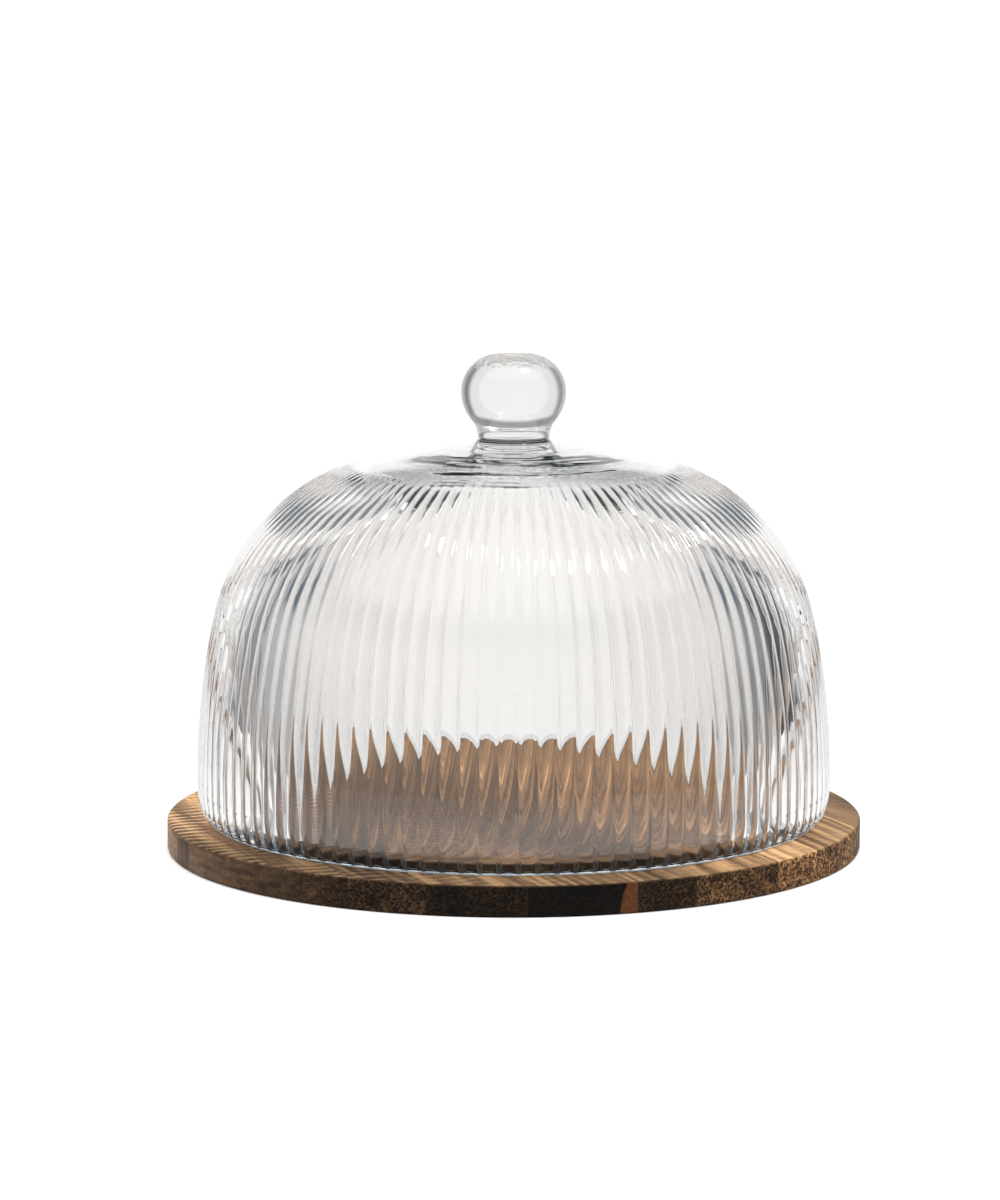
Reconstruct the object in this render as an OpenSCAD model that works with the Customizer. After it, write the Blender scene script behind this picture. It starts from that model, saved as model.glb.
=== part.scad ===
// A round wooden board with a clear glass dome standing on it.
// The board is glued up from nine staves, and a raised centre on it keeps the dome in place.
// The dome is one shell of glass with a solid glass knob bonded on a small boss at its top.
// Sizes are in millimetres. Z runs up from the middle of the board's underside, and the
// front of the object faces -Y.

/* [Board] */
// Width across the round board
board_d = 300; // [290:1:340]
// Height of the outer ledge, which the foot of the glass stands on
ledge_h = 13; // [10:0.5:18]
// Step from the ledge up to the raised centre
centre_rise = 5; // [3:0.5:8]
// Gap all round between the raised centre and the foot of the glass
centre_gap = 1; // [0.5:0.1:2]
// Rounding of the rim's upper and lower edges
rim_round = 1.2; // [0.5:0.1:3]
// Rounding of the raised centre's upper edge
centre_round = 0.8; // [0.3:0.1:2]

/* [Staves] */
// Turn of the wood grain away from the depth axis, in degrees
grain_turn = 22; // [0:1:90]
// Share of the board's width in the first stave, at the left
stave_1_share = 38; // [20:1:60]
// Share in the second stave
stave_2_share = 25; // [20:1:60]
// Share in the third stave
stave_3_share = 36; // [20:1:60]
// Share in the fourth stave
stave_4_share = 44; // [20:1:60]
// Share in the fifth stave, which holds the board's middle
stave_5_share = 26; // [20:1:60]
// Share in the sixth stave
stave_6_share = 42; // [20:1:60]
// Share in the seventh stave
stave_7_share = 25; // [20:1:60]
// Share in the eighth stave
stave_8_share = 36; // [20:1:60]
// Share in the ninth stave, at the right
stave_9_share = 28; // [20:1:60]

/* [Dome outline] */
// Width of the glass across its widest ring
glass_d = 274; // [264:1:280]
// Height of the widest ring above the foot
widest_h = 16; // [12:1:22]
// How far the foot draws in from the widest ring, on each side
foot_in = 3.5; // [1:0.5:6]
// Radius of the long curve up the wall
wall_arc = 320; // [300:5:400]
// Lean of the glass where the wall turns into the shoulder, in degrees
wall_end = 13; // [10:0.5:15]
// Radius of the shoulder
shoulder_arc = 88; // [80:1:95]
// Lean of the glass where the shoulder turns into the crown, in degrees
shoulder_end = 79; // [76:0.5:81]
// Radius of the nearly flat crown
crown_arc = 600; // [400:10:900]

/* [Glass thickness] */
// Thickness at the foot
foot_t = 4; // [3:0.1:5]
// Thickness at the widest ring
widest_t = 5.2; // [3:0.1:6]
// Thickness at the top of the wall
wall_t = 3; // [2.5:0.1:5]
// Thickness at the top of the shoulder
shoulder_t = 4.5; // [3:0.1:6]
// Rounding of the foot's two lower edges
foot_round = 0.8; // [0.3:0.1:1.2]

/* [Knob] */
// Width of the flat bond between the knob and the dome
bond_d = 30.8; // [26:0.2:34]
// Radius of the sweep from the crown up into the boss
boss_sweep = 1.8; // [1:0.1:3]
// Straight land of the boss above its sweep
boss_land = 0.3; // [0.1:0.1:2]
// Height of the knob above the bond
knob_h = 35.6; // [34:0.2:40]
// Width of the knob across its belly
knob_d = 45.2; // [43:0.2:48]
// Height of the belly above the bond
belly_h = 19.6; // [19:0.2:22]
// Radius of the curve under the belly
belly_arc = 18.8; // [17.6:0.2:20]

/* [Hidden] */
STAVE_COUNT = 9;

// Segments of the board's small rounded edges and of each curve of the glass
ROUND_STEPS = 3;
FOOT_STEPS = 4;
WALL_STEPS = 8;
SHOULDER_STEPS = 14;
CROWN_STEPS = 3;
SWEEP_STEPS = 3;
BELLY_STEPS = 9;
$fn = 180;

stave_shares = [
    stave_1_share, stave_2_share, stave_3_share,
    stave_4_share, stave_5_share, stave_6_share,
    stave_7_share, stave_8_share, stave_9_share
];
// Spare length and height of the block that cuts a stave out of the board
CUT_SPARE = 20;

// Colours of the staves from left to right, and of the glass
STAVE_COLOURS = [
    "#8a6540", "#6b4a2e", "#7c583a",
    "#84603f", "#7a5738", "#6f4e33",
    "#a07a4c", "#755438", "#8c6844"
];
SHELL_COLOUR = "#e3ebee";
KNOB_COLOUR = "#d3dde1";

// Outline of the dome: the foot and the wall meet at the widest ring, where both stand upright,
// and each next curve starts in the direction in which the last one ends
widest_r = glass_d / 2;
foot_arc = (foot_in * foot_in + widest_h * widest_h) / (2 * foot_in);
foot_start = -asin(widest_h / foot_arc);
foot_c = [widest_r - foot_arc, widest_h];
wall_c = [widest_r - wall_arc, widest_h];
shoulder_c = wall_c + (wall_arc - shoulder_arc) * bearing(wall_end);
crown_c = shoulder_c + (shoulder_arc - crown_arc) * bearing(shoulder_end);

// The sweep into the boss touches the crown and then stands upright
bond_r = bond_d / 2;
sweep_at = acos((bond_r + boss_sweep - crown_c.x) / (crown_arc + boss_sweep));
sweep_c = crown_c + (crown_arc + boss_sweep) * bearing(sweep_at);
bond_h = sweep_c.y + boss_land;

// Heights at which the thickness of the glass is given
wall_top = wall_c.y + wall_arc * sin(wall_end);
shoulder_top = shoulder_c.y + shoulder_arc * sin(shoulder_end);

// The inside of the crown is one arc that lies level on the axis
crown_in = point_on(shoulder_c, shoulder_arc - shoulder_t, shoulder_end);
crown_in_arc = crown_in.x / cos(shoulder_end);
crown_in_c = [0, crown_in.y - crown_in_arc * sin(shoulder_end)];

// Outline of the knob: a sweep that leaves the bond upright, the curve under the belly, and a
// quarter circle over it to the flat top
belly_r = knob_d / 2;
belly_c = [belly_r - belly_arc, belly_h];
top_arc = knob_h - belly_h;
neck_in = bond_r - belly_c.x;
neck_arc = (belly_h * belly_h - belly_arc * belly_arc + neck_in * neck_in) / (2 * (belly_arc - neck_in));
neck_c = [bond_r + neck_arc, 0];
neck_end = atan2(-belly_h, neck_c.x - belly_c.x);

// The raised centre fills the foot of the glass, less its gap
foot_in_r = widest_r - foot_in - foot_t;
centre_r = foot_in_r - centre_gap;
board_r = board_d / 2;
board_top = ledge_h + centre_rise;

function bearing(a) = [cos(a), sin(a)];
function point_on(c, r, a) = c + r * bearing(a);
function arc(c, r, a0, a1, steps) =
    [for (i = [0:steps]) point_on(c, r, a0 + (a1 - a0) * i / steps)];
function reversed(points) = [for (i = [len(points) - 1:-1:0]) points[i]];
function total(values, n) = n == 0 ? 0 : values[n - 1] + total(values, n - 1);

// Distance of the joint after stave i from the board's middle, across the grain
function joint_at(i) = board_d * (total(stave_shares, i) / total(stave_shares, STAVE_COUNT) - 0.5);

// Thickness of the glass at a height above the foot
function glass_t(h) = lookup(h, [
    [0, foot_t],
    [widest_h, widest_t],
    [wall_top, wall_t],
    [shoulder_top, shoulder_t]
]);

// Inner points behind one arc of the outline
function arc_inside(c, r, a0, a1, steps) = [
    for (i = [0:steps])
        let (a = a0 + (a1 - a0) * i / steps, h = c.y + r * sin(a))
        point_on(c, r - glass_t(h), a)
];

function shell_outside() = concat(
    [[widest_r - foot_in - foot_round, 0]],
    [[widest_r - foot_in, foot_round]],
    [for (p = arc(foot_c, foot_arc, foot_start, 0, FOOT_STEPS)) if (p.y > foot_round) p],
    arc(wall_c, wall_arc, 0, wall_end, WALL_STEPS),
    arc(shoulder_c, shoulder_arc, wall_end, shoulder_end, SHOULDER_STEPS),
    arc(crown_c, crown_arc, shoulder_end, sweep_at, CROWN_STEPS),
    arc(sweep_c, boss_sweep, 180 + sweep_at, 180, SWEEP_STEPS),
    [[bond_r, bond_h], [0, bond_h]]
);

function shell_inside() = concat(
    [[foot_in_r + foot_round, 0]],
    [[foot_in_r, foot_round]],
    [for (p = arc_inside(foot_c, foot_arc, foot_start, 0, FOOT_STEPS)) if (p.x > foot_in_r) p],
    arc_inside(wall_c, wall_arc, 0, wall_end, WALL_STEPS),
    arc_inside(shoulder_c, shoulder_arc, wall_end, shoulder_end, SHOULDER_STEPS),
    arc(crown_in_c, crown_in_arc, shoulder_end, 90, CROWN_STEPS)
);

function knob_outline() = concat(
    [[0, 0]],
    arc(neck_c, neck_arc, 180, 180 + neck_end, BELLY_STEPS),
    arc(belly_c, belly_arc, neck_end, 0, BELLY_STEPS),
    arc([belly_r - top_arc, belly_h], top_arc, 0, 90, BELLY_STEPS),
    [[0, knob_h]]
);

function board_outline() = concat(
    [[0, 0]],
    arc([board_r - rim_round, rim_round], rim_round, -90, 0, ROUND_STEPS),
    arc([board_r - rim_round, ledge_h - rim_round], rim_round, 0, 90, ROUND_STEPS),
    [[centre_r, ledge_h]],
    arc([centre_r - centre_round, board_top - centre_round], centre_round, 0, 90, ROUND_STEPS),
    [[0, board_top]]
);

// An outline in which points that fall on each other are kept once
function once(points) = [
    for (i = [0:len(points) - 1])
        if (i == 0 || norm(points[i] - points[i - 1]) > 0.001) points[i]
];

module turned(outline) {
    rotate_extrude() polygon(once(outline));
}

module board_blank() {
    turned(board_outline());
}

module board_stave(i) {
    left = i == 1 ? -board_r - CUT_SPARE : joint_at(i - 1);
    right = i == STAVE_COUNT ? board_r + CUT_SPARE : joint_at(i);
    color(STAVE_COLOURS[i - 1])
    intersection() {
        board_blank();
        rotate([0, 0, grain_turn])
            translate([left, -board_r - CUT_SPARE, -CUT_SPARE])
                cube([right - left, 2 * (board_r + CUT_SPARE), board_top + 2 * CUT_SPARE]);
    }
}

module dome_shell() {
    color(SHELL_COLOUR, 0.5)
    translate([0, 0, ledge_h])
        turned(concat(shell_outside(), reversed(shell_inside())));
}

module dome_knob() {
    color(KNOB_COLOUR, 0.7)
    translate([0, 0, ledge_h + bond_h])
        turned(knob_outline());
}

dome_shell();
dome_knob();
for (i = [1:STAVE_COUNT])
    board_stave(i);
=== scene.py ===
"""The looks of a cheese dome: a reeded glass shell, its solid glass knob and a board of glued wooden
staves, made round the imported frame. Sizes are in metres, Z runs up, and the front faces -Y."""

import math
from collections import namedtuple

import bmesh
import bpy
from bpy.props import FloatProperty, FloatVectorProperty, IntProperty, PointerProperty
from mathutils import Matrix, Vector


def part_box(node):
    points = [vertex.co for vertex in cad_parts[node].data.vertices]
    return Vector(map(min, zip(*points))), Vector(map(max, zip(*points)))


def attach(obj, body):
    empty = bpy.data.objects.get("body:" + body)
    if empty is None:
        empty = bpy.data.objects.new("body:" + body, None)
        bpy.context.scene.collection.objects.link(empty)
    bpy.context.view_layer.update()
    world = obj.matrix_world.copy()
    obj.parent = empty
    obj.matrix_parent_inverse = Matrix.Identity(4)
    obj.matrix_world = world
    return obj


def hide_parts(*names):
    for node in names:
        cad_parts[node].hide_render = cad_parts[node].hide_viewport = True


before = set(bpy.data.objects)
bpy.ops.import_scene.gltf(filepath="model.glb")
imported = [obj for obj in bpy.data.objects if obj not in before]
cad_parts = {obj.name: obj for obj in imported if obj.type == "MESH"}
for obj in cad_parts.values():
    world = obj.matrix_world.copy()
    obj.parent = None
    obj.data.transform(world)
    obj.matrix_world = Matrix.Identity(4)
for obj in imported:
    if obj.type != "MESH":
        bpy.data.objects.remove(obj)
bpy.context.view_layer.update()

bl_info = {
    "name": "Cheese Dome",
    "version": (1, 0, 0),
    "blender": (4, 5, 0),
    "location": "3D View > Sidebar > Cheese Dome",
    "description": "Makes a reeded glass dome with a knob on a board of glued staves",
    "category": "Add Mesh",
}

MM = 0.001
STAVES = sorted(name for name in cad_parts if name.startswith("board_stave_"))

# Levels and widths that the frame gives
SHELL_LOW, SHELL_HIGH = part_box("dome_shell")
KNOB_LOW, KNOB_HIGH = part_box("dome_knob")
LEDGE = SHELL_LOW[2]
BOND = KNOB_LOW[2]
WIDEST_R = SHELL_HIGH[0]
BELLY_R = KNOB_HIGH[0]


# ---------------------------------------------------------------- node trees


class Value:
    """A socket of a node tree that works in sums, products, quotients, remainders and powers."""

    def __init__(self, tree, socket):
        self.tree = tree
        self.socket = socket

    def math(self, operation, *others):
        """A Math node on this value and the others."""
        inputs = {i: v for i, v in enumerate((self, *others))}
        return self.tree.node("ShaderNodeMath", {"operation": operation}, inputs)

    def __add__(self, other):
        return self.math("ADD", other)

    __radd__ = __add__

    def __mul__(self, other):
        return self.math("MULTIPLY", other)

    __rmul__ = __mul__

    def __sub__(self, other):
        return self.math("SUBTRACT", other)

    def __rsub__(self, other):
        return self * -1 + other

    def __truediv__(self, other):
        return self.math("DIVIDE", other)

    def __mod__(self, other):
        return self.math("FLOORED_MODULO", other)

    def __pow__(self, other):
        return self.math("POWER", other)

    def over(self, low, high):
        """0 below low, 1 above high and smooth between them."""
        return self.tree.node(
            "ShaderNodeMapRange",
            {"interpolation_type": "SMOOTHSTEP"},
            {"Value": self, "From Min": low, "From Max": high},
        )


class Nodes:
    """Builds the nodes of one tree."""

    def __init__(self, tree):
        self.tree = tree
        tree.nodes.clear()

    def node(self, kind, settings=None, inputs=None, output=0):
        """Makes a node, sets it up and fills its sockets by name or number.

        Returns one output, or the node itself where it has none."""
        made = self.tree.nodes.new(kind)
        for key, value in (settings or {}).items():
            if key == "stops":
                self.set_stops(made.color_ramp, value)
            else:
                setattr(made, key, value)
        for key, value in (inputs or {}).items():
            if isinstance(value, Value):
                self.tree.links.new(value.socket, made.inputs[key])
            else:
                made.inputs[key].default_value = value
        return Value(self, made.outputs[output]) if made.outputs else made

    @staticmethod
    def set_stops(ramp, stops):
        while len(ramp.elements) < len(stops):
            ramp.elements.new(0.5)
        for element, (place, colour) in zip(ramp.elements, stops):
            element.position = place
            element.color = (*colour, 1.0)

    def mix(self, factor, a, b, blend="MIX"):
        """Mixes two colours."""
        settings = {"data_type": "RGBA", "blend_type": blend, "clamp_factor": True}
        a, b = (v if isinstance(v, Value) else (*v, 1.0) for v in (a, b))
        return self.node("ShaderNodeMix", settings, {0: factor, 6: a, 7: b}, 2)

    def noise(self, place, scale, detail=3.0, roughness=0.5, output="Fac"):
        inputs = {"Vector": place, "Scale": scale, "Detail": detail, "Roughness": roughness}
        return self.node("ShaderNodeTexNoise", {}, inputs, output)

    def mapped(self, place, scale=(1, 1, 1), turn=(0, 0, 0), shift=(0, 0, 0)):
        """The place scaled, then turned, then shifted."""
        inputs = {"Vector": place, "Scale": scale, "Rotation": turn, "Location": shift}
        return self.node("ShaderNodeMapping", {}, inputs)

    def axes(self, place):
        """The three numbers of a place or direction."""
        split = self.node("ShaderNodeSeparateXYZ", {}, {0: place}).socket.node
        return [Value(self, split.outputs[i]) for i in range(3)]


def new_material(name):
    material = bpy.data.materials.new(name)
    material.use_nodes = True
    return material, Nodes(material.node_tree)


def finish_surface(nodes, inputs):
    """The one Principled shader of a material."""
    shader = nodes.node("ShaderNodeBsdfPrincipled", {}, inputs)
    nodes.node("ShaderNodeOutputMaterial", {}, {"Surface": shader})


# ---------------------------------------------------------------- glass materials

# Relief of the soft waves that pressing left in the glass, and the haze on its faces
SHELL_WAVES, SHELL_HAZE = 0.04 * MM, 0.015
KNOB_WAVES, KNOB_HAZE = 0.05 * MM, 0.06
# A little of the view passes straight through the knob, which softens the bent view inside it
KNOB_SOLID = 0.86
# The pebbles round the knob's top: relief, number in a metre, and how far below the top they
# start and are full
PEBBLE_RELIEF, PEBBLES_PER_METRE = 0.9 * MM, 430.0
PEBBLES_START, PEBBLES_FULL = 7.5 * MM, 3 * MM
# Levels between which painted shade greys the lower wall
WALL_SHADE_START, WALL_SHADE_FULL = 115 * MM, 65 * MM
# Darkest and palest tone of the foot, whose pale cool tint is painted highlight, and of the posts on it,
# whose grey is painted reflection in the valleys
FOOT_HIGHLIGHT_TONES = ((0.42, 0.52, 0.60), (0.72, 0.82, 0.88))
POST_REFLECTION_TONES = ((0.085, 0.10, 0.115), (0.16, 0.19, 0.215))


def crown_rings(nodes, place, width):
    """Relief of the fine rings that the press left round the middle of the crown, 0 to 1."""
    x, y, z = nodes.axes(place)
    radius = (x * x + y * y).math("SQRT")
    warp = nodes.noise(place, 24, 3)
    rings = (((radius + warp * (12 * MM)) / width * math.tau).math("SINE") * 0.5 + 0.5) ** 5
    patchy = nodes.noise(nodes.mapped(place, shift=(3, 1, 2)), 38, 2).over(0.34, 0.66)
    # They fill the crown from the boss to where the shoulder bends down, and are deeper in front
    on_crown = radius.over(19 * MM, 24 * MM) * radius.over(79 * MM, 73 * MM) * z.over(150 * MM, 155 * MM)
    deeper_in_front = (y * -1 / radius).over(0.5, 1.0) * 0.94 + 0.06
    return rings * patchy * on_crown * deeper_in_front


def pressed_waves(nodes, place, relief):
    """The broad waves of pressed glass, and the relief of those with finer ones on them."""
    broad = nodes.noise(nodes.mapped(place, (1, 1, 0.6)), 55, 2)
    fine = nodes.noise(nodes.mapped(place, (1, 1, 0.5)), 420, 2)
    return broad, broad * relief + fine * (relief * 0.06)


def glancing(nodes):
    """How far the glass turns away from the eye, 0 to 1."""
    return nodes.node("ShaderNodeLayerWeight", {}, {"Blend": 0.5}, "Facing")


def smears(nodes, place):
    """Soft patches of haze, 0 to 1."""
    return nodes.noise(place, 30, 4).over(0.5, 0.8)


def finish_glass(nodes, broad, height, clear, edge, rough, solid=1.0):
    """Soda-lime glass with that relief, duller on its broad waves, and greyed by painted shade where edge
    is 1.
    """
    glass = bpy.context.scene.dome_glass
    # Painted shade: the glass is tinted greyer where it turns away from the eye
    tint = nodes.mix(edge, clear, glass.glancing_shade_tint)
    tint = nodes.mix(broad * 0.5, tint, [c * 0.97 for c in glass.tint], "MULTIPLY")
    bump = nodes.node("ShaderNodeBump", {}, {"Strength": 1.0, "Distance": 1.0, "Height": height})
    inputs = {
        "Base Color": tint,
        "Roughness": rough,
        "IOR": 1.5,
        "Transmission Weight": 1.0,
        "Alpha": solid,
        "Normal": bump,
    }
    finish_surface(nodes, inputs)


def shell_glass():
    """Glass of the shell, with rings in its crown, greyed by painted shade at a glancing angle and low on
    the wall.
    """
    material, nodes = new_material("shell_glass")
    glass = bpy.context.scene.dome_glass
    place = nodes.node("ShaderNodeTexCoord", {}, {}, "Object")
    _, _, z = nodes.axes(place)
    broad, height = pressed_waves(nodes, place, SHELL_WAVES)
    height = height + crown_rings(nodes, place, glass.ring_width) * glass.ring_relief
    glance = glancing(nodes)
    # Painted shade greys the glass at a glancing angle, and more so low on the wall
    low_wall_shade = glance.over(0.15, 0.9) * z.over(WALL_SHADE_START, WALL_SHADE_FULL) * 1.3
    edge = (glance.over(0.4, 1.0) + low_wall_shade).math("MINIMUM", 1.0)
    finish_glass(nodes, broad, height, glass.tint, edge, smears(nodes, place) * SHELL_HAZE)
    return material


def knob_glass():
    """Glass of the knob, with the pebbles that the shears left round its top."""
    material, nodes = new_material("knob_glass")
    glass = bpy.context.scene.dome_glass
    place = nodes.node("ShaderNodeTexCoord", {}, {}, "Object")
    _, _, z = nodes.axes(place)
    broad, height = pressed_waves(nodes, place, KNOB_WAVES)
    inputs = {"Vector": place, "Scale": PEBBLES_PER_METRE}
    pebbles = nodes.node("ShaderNodeTexVoronoi", {"feature": "F1"}, inputs, "Distance")
    near_top = z.over(KNOB_HIGH[2] - PEBBLES_START, KNOB_HIGH[2] - PEBBLES_FULL)
    height = height + pebbles * near_top * PEBBLE_RELIEF
    # Painted shade greys the knob where it turns away from the eye
    edge = glancing(nodes).over(0.3, 1.0)
    rough = (smears(nodes, place) + 0.6) * KNOB_HAZE
    finish_glass(nodes, broad, height, glass.knob_tint, edge, rough, KNOB_SOLID)
    return material


def frost_and_sheen_glass(name, dark, light):
    """Rough glass of the foot, frosted, whose pale cool tint paints a line of light along it, or of the
    posts on it, whose grey paints the reflections in the valleys.
    """
    material, nodes = new_material(name)
    place = nodes.node("ShaderNodeTexCoord", {}, {}, "Object")
    unevenness = nodes.noise(place, 90, 3)
    tint = nodes.mix(unevenness.over(0.3, 0.7), dark, light)
    grit = nodes.noise(place, 1500, 2)
    bump = nodes.node("ShaderNodeBump", {}, {"Strength": 0.4, "Distance": 0.05 * MM, "Height": grit})
    inputs = {
        "Base Color": tint,
        "Roughness": unevenness * 0.3 + 0.15,
        "IOR": 1.5,
        "Transmission Weight": 0.35,
        "Normal": bump,
    }
    finish_surface(nodes, inputs)
    return material


def bond_shade():
    """A dark ring round the bond, painted shade of the narrow joint between the knob and the shell."""
    material, nodes = new_material("bond_painted_shade")
    place = nodes.node("ShaderNodeTexCoord", {}, {}, "Object")
    unevenness = nodes.noise(place, 260, 3)
    # Painted shade: near-black, a little uneven
    tint = nodes.mix(unevenness.over(0.35, 0.75), (0.008, 0.008, 0.009), (0.05, 0.052, 0.055))
    finish_surface(nodes, {"Base Color": tint, "Roughness": unevenness * 0.3 + 0.2})
    return material


# ---------------------------------------------------------------- shell

# Steps along each curve of the shell, down the outside and then up the inside
SWEEP_STEPS, CROWN_STEPS, SHOULDER_STEPS, WALL_STEPS, EDGE_STEPS = 5, 22, 20, 7, 4
INNER_FOOT_STEPS, INNER_WALL_STEPS, INNER_SHOULDER_STEPS, INNER_CROWN_STEPS = 5, 5, 12, 9
# The sweep into the boss starts a little past upright, under the bevel of the bond
SWEEP_START = math.pi * 1.05
# Heights above the foot of the rings below the wall, and how far the reeds have ended at those
# that follow
FOOT_LEVELS = (13 * MM, 9 * MM, 6 * MM)
ENDING_STEPS = (0, 0.3, 0.5, 0.7, 0.85, 0.95, 1)
# Height above the foot where the inner ridges start, and over which they rise to their full height
RIDGES_START, RIDGES_RISE = 3 * MM, 6 * MM
# The inside of the crown is rippled half as much as the outside, and still this near to the axis
INNER_RIPPLE, STILL_MIDDLE = 0.5, 8 * MM
# The posts, grey painted reflections in the valleys, are on the outside only, no farther in from the
# widest ring than this
POST_INSET = 5.5 * MM
# Edges that bend by more than this stay sharp, and points nearer to each other than this are one
SHARP_BEND = math.radians(28)
MERGE_DISTANCE = 1e-6

# One ring of the shell: its point and the way it faces, as radius and height above the foot, the
# depth of its reeds, how far they have ended, its share of the ripples, and its inner ridge
Ring = namedtuple("Ring", "point facing depth ended ripple ridge", defaults=(0, 1, 0, 0))


def bearing(angle):
    """The direction at that angle above straight outwards, as (r, h)."""
    return Vector((math.cos(angle), math.sin(angle)))


def arc(centre, radius, start, end, steps):
    """Points of an arc with the direction in which each faces, as (r, h), (r, h)."""
    angles = [start + (end - start) * i / steps for i in range(steps + 1)]
    return [(Vector(centre) + radius * bearing(a), bearing(a)) for a in angles]


class Outline:
    """The dome's outline as radius and height above the foot: tangent arcs, as the frame's shell has."""

    FOOT_IN, WIDEST_H = 3.5 * MM, 16 * MM
    WALL_ARC, WALL_END = 320 * MM, math.radians(13)
    SHOULDER_ARC, SHOULDER_END = 88 * MM, math.radians(79)
    CROWN_ARC, BOSS_SWEEP = 600 * MM, 1.8 * MM

    def __init__(self, glass):
        self.foot_arc = (self.FOOT_IN**2 + self.WIDEST_H**2) / (2 * self.FOOT_IN)
        self.foot_c = Vector((WIDEST_R - self.foot_arc, self.WIDEST_H))
        self.wall_c = Vector((WIDEST_R - self.WALL_ARC, self.WIDEST_H))
        self.shoulder_c = self.wall_c + (self.WALL_ARC - self.SHOULDER_ARC) * bearing(self.WALL_END)
        self.crown_c = self.shoulder_c + (self.SHOULDER_ARC - self.CROWN_ARC) * bearing(self.SHOULDER_END)
        self.bond_r = glass.bond_width / 2
        reach = self.CROWN_ARC + self.BOSS_SWEEP
        self.sweep_at = math.acos((self.bond_r + self.BOSS_SWEEP - self.crown_c.x) / reach)
        self.sweep_c = self.crown_c + reach * bearing(self.sweep_at)
        wall_top = self.wall_c.y + self.WALL_ARC * math.sin(self.WALL_END)
        self.shoulder_top = self.shoulder_c.y + self.SHOULDER_ARC * math.sin(self.SHOULDER_END)
        self.levels = (
            (0.0, glass.foot_thickness),
            (self.WIDEST_H, glass.widest_thickness),
            (wall_top, glass.wall_thickness),
            (self.shoulder_top, glass.shoulder_thickness),
        )

    def thickness(self, h):
        """Thickness of the glass at a height above the foot."""
        for (h0, t0), (h1, t1) in zip(self.levels, self.levels[1:]):
            if h <= h1:
                return t0 + (t1 - t0) * (max(h, h0) - h0) / (h1 - h0)
        return self.levels[-1][1]

    def inside(self, points):
        """The points moved in by the thickness of the glass, facing the other way."""
        return [(p - self.thickness(p.y) * out, -out) for p, out in points]


def reed_depth(glass, r):
    """Depth of the valleys: full on the wall, less as the reeds crowd together, none on the crown."""
    start = (r - glass.reeds_from) / (glass.reeds_full - glass.reeds_from)
    start = min(max(start, 0.0), 1.0)
    return glass.reed_depth * (r / WIDEST_R) * start * start * (3 - 2 * start)


def reeded(glass, line, points):
    """Rings of the outside, with reeds and, near the crown, its ripples."""
    rings = []
    for p, out in points:
        ripple = max(0.0, 1 - max(0.0, line.shoulder_top - p.y) / glass.ripples_fade)
        rings.append(Ring(p, out, depth=reed_depth(glass, p.x), ended=0, ripple=ripple))
    return rings


def ridged(glass, points):
    """Rings of the inside, with a low ridge behind each valley."""
    rings = []
    for p, out in points:
        risen = min(1.0, max(0.0, (p.y - RIDGES_START) / RIDGES_RISE))
        share = reed_depth(glass, p.x) / glass.reed_depth * risen
        rings.append(Ring(p, out, ridge=glass.ridge_height * share))
    return rings


def outer_rings(glass, line):
    """The flat bond with its bevel, the sweep below it, the crown, the shoulder and the wall."""
    top = BOND - LEDGE - glass.bond_gap / 2
    edge = glass.bond_edge
    rings = [Ring((r, top), (0, 1)) for r in (0, line.bond_r * 0.6, line.bond_r - edge)]
    rings.append(Ring((line.bond_r, top - edge), (1, 0)))
    sweep = arc(line.sweep_c, line.BOSS_SWEEP, SWEEP_START, math.pi + line.sweep_at, SWEEP_STEPS)
    rings += [Ring(p, -out) for p, out in sweep[:-1]]
    crown = arc(line.crown_c, line.CROWN_ARC, line.sweep_at, line.SHOULDER_END, CROWN_STEPS)
    shoulder = arc(line.shoulder_c, line.SHOULDER_ARC, line.SHOULDER_END, line.WALL_END, SHOULDER_STEPS)
    wall = arc(line.wall_c, line.WALL_ARC, line.WALL_END, 0, WALL_STEPS)
    return rings + reeded(glass, line, crown + shoulder[1:] + wall[1:])


def foot_rings(glass, line):
    """The rounded lower ends of the reeds, then the plain band and its rounded bottom edge."""

    def on_foot(h, ended):
        a = -math.asin((line.WIDEST_H - h) / line.foot_arc)
        return Ring(line.foot_c + line.foot_arc * bearing(a), bearing(a), glass.reed_depth, ended)

    rings = [on_foot(h, 0) for h in FOOT_LEVELS]
    drop = glass.reeds_end - glass.band_height
    rings += [on_foot(glass.reeds_end - drop * ended, ended) for ended in ENDING_STEPS]
    foot_r = min(rings[-1].point.x - glass.reed_depth * 0.95, WIDEST_R - line.FOOT_IN)
    edge = glass.foot_edge
    corner = arc((foot_r - edge, edge), edge, 0, -math.pi / 2, EDGE_STEPS)
    return rings + [Ring(p, out) for p, out in corner]


def inner_rings(glass, line):
    """The foot's inner edge, then the inside of the wall, the shoulder and the crown to the axis."""
    foot_in_r = WIDEST_R - line.FOOT_IN - glass.foot_thickness
    edge = glass.foot_edge
    rings = [Ring((foot_in_r + edge, 0), (0, -1)), Ring((foot_in_r, edge), (-1, 0))]
    start = -math.asin(line.WIDEST_H / line.foot_arc)
    foot = arc(line.foot_c, line.foot_arc, start, 0, INNER_FOOT_STEPS)
    wall = arc(line.wall_c, line.WALL_ARC, 0, line.WALL_END, INNER_WALL_STEPS)
    ends = (line.WALL_END, line.SHOULDER_END)
    shoulder = arc(line.shoulder_c, line.SHOULDER_ARC, *ends, INNER_SHOULDER_STEPS)
    for curve in (foot, wall, shoulder):
        rings += ridged(glass, line.inside(curve)[1:])
    end = rings[-1].point
    crown_arc = end.x / math.cos(line.SHOULDER_END)
    crown_c = Vector((0, end.y - crown_arc * math.sin(line.SHOULDER_END)))
    for p, out in arc(crown_c, crown_arc, line.SHOULDER_END, math.pi / 2, INNER_CROWN_STEPS)[1:]:
        rings.append(Ring(p, -out, ripple=INNER_RIPPLE if p.x > STILL_MIDDLE else 0))
    return rings


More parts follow.
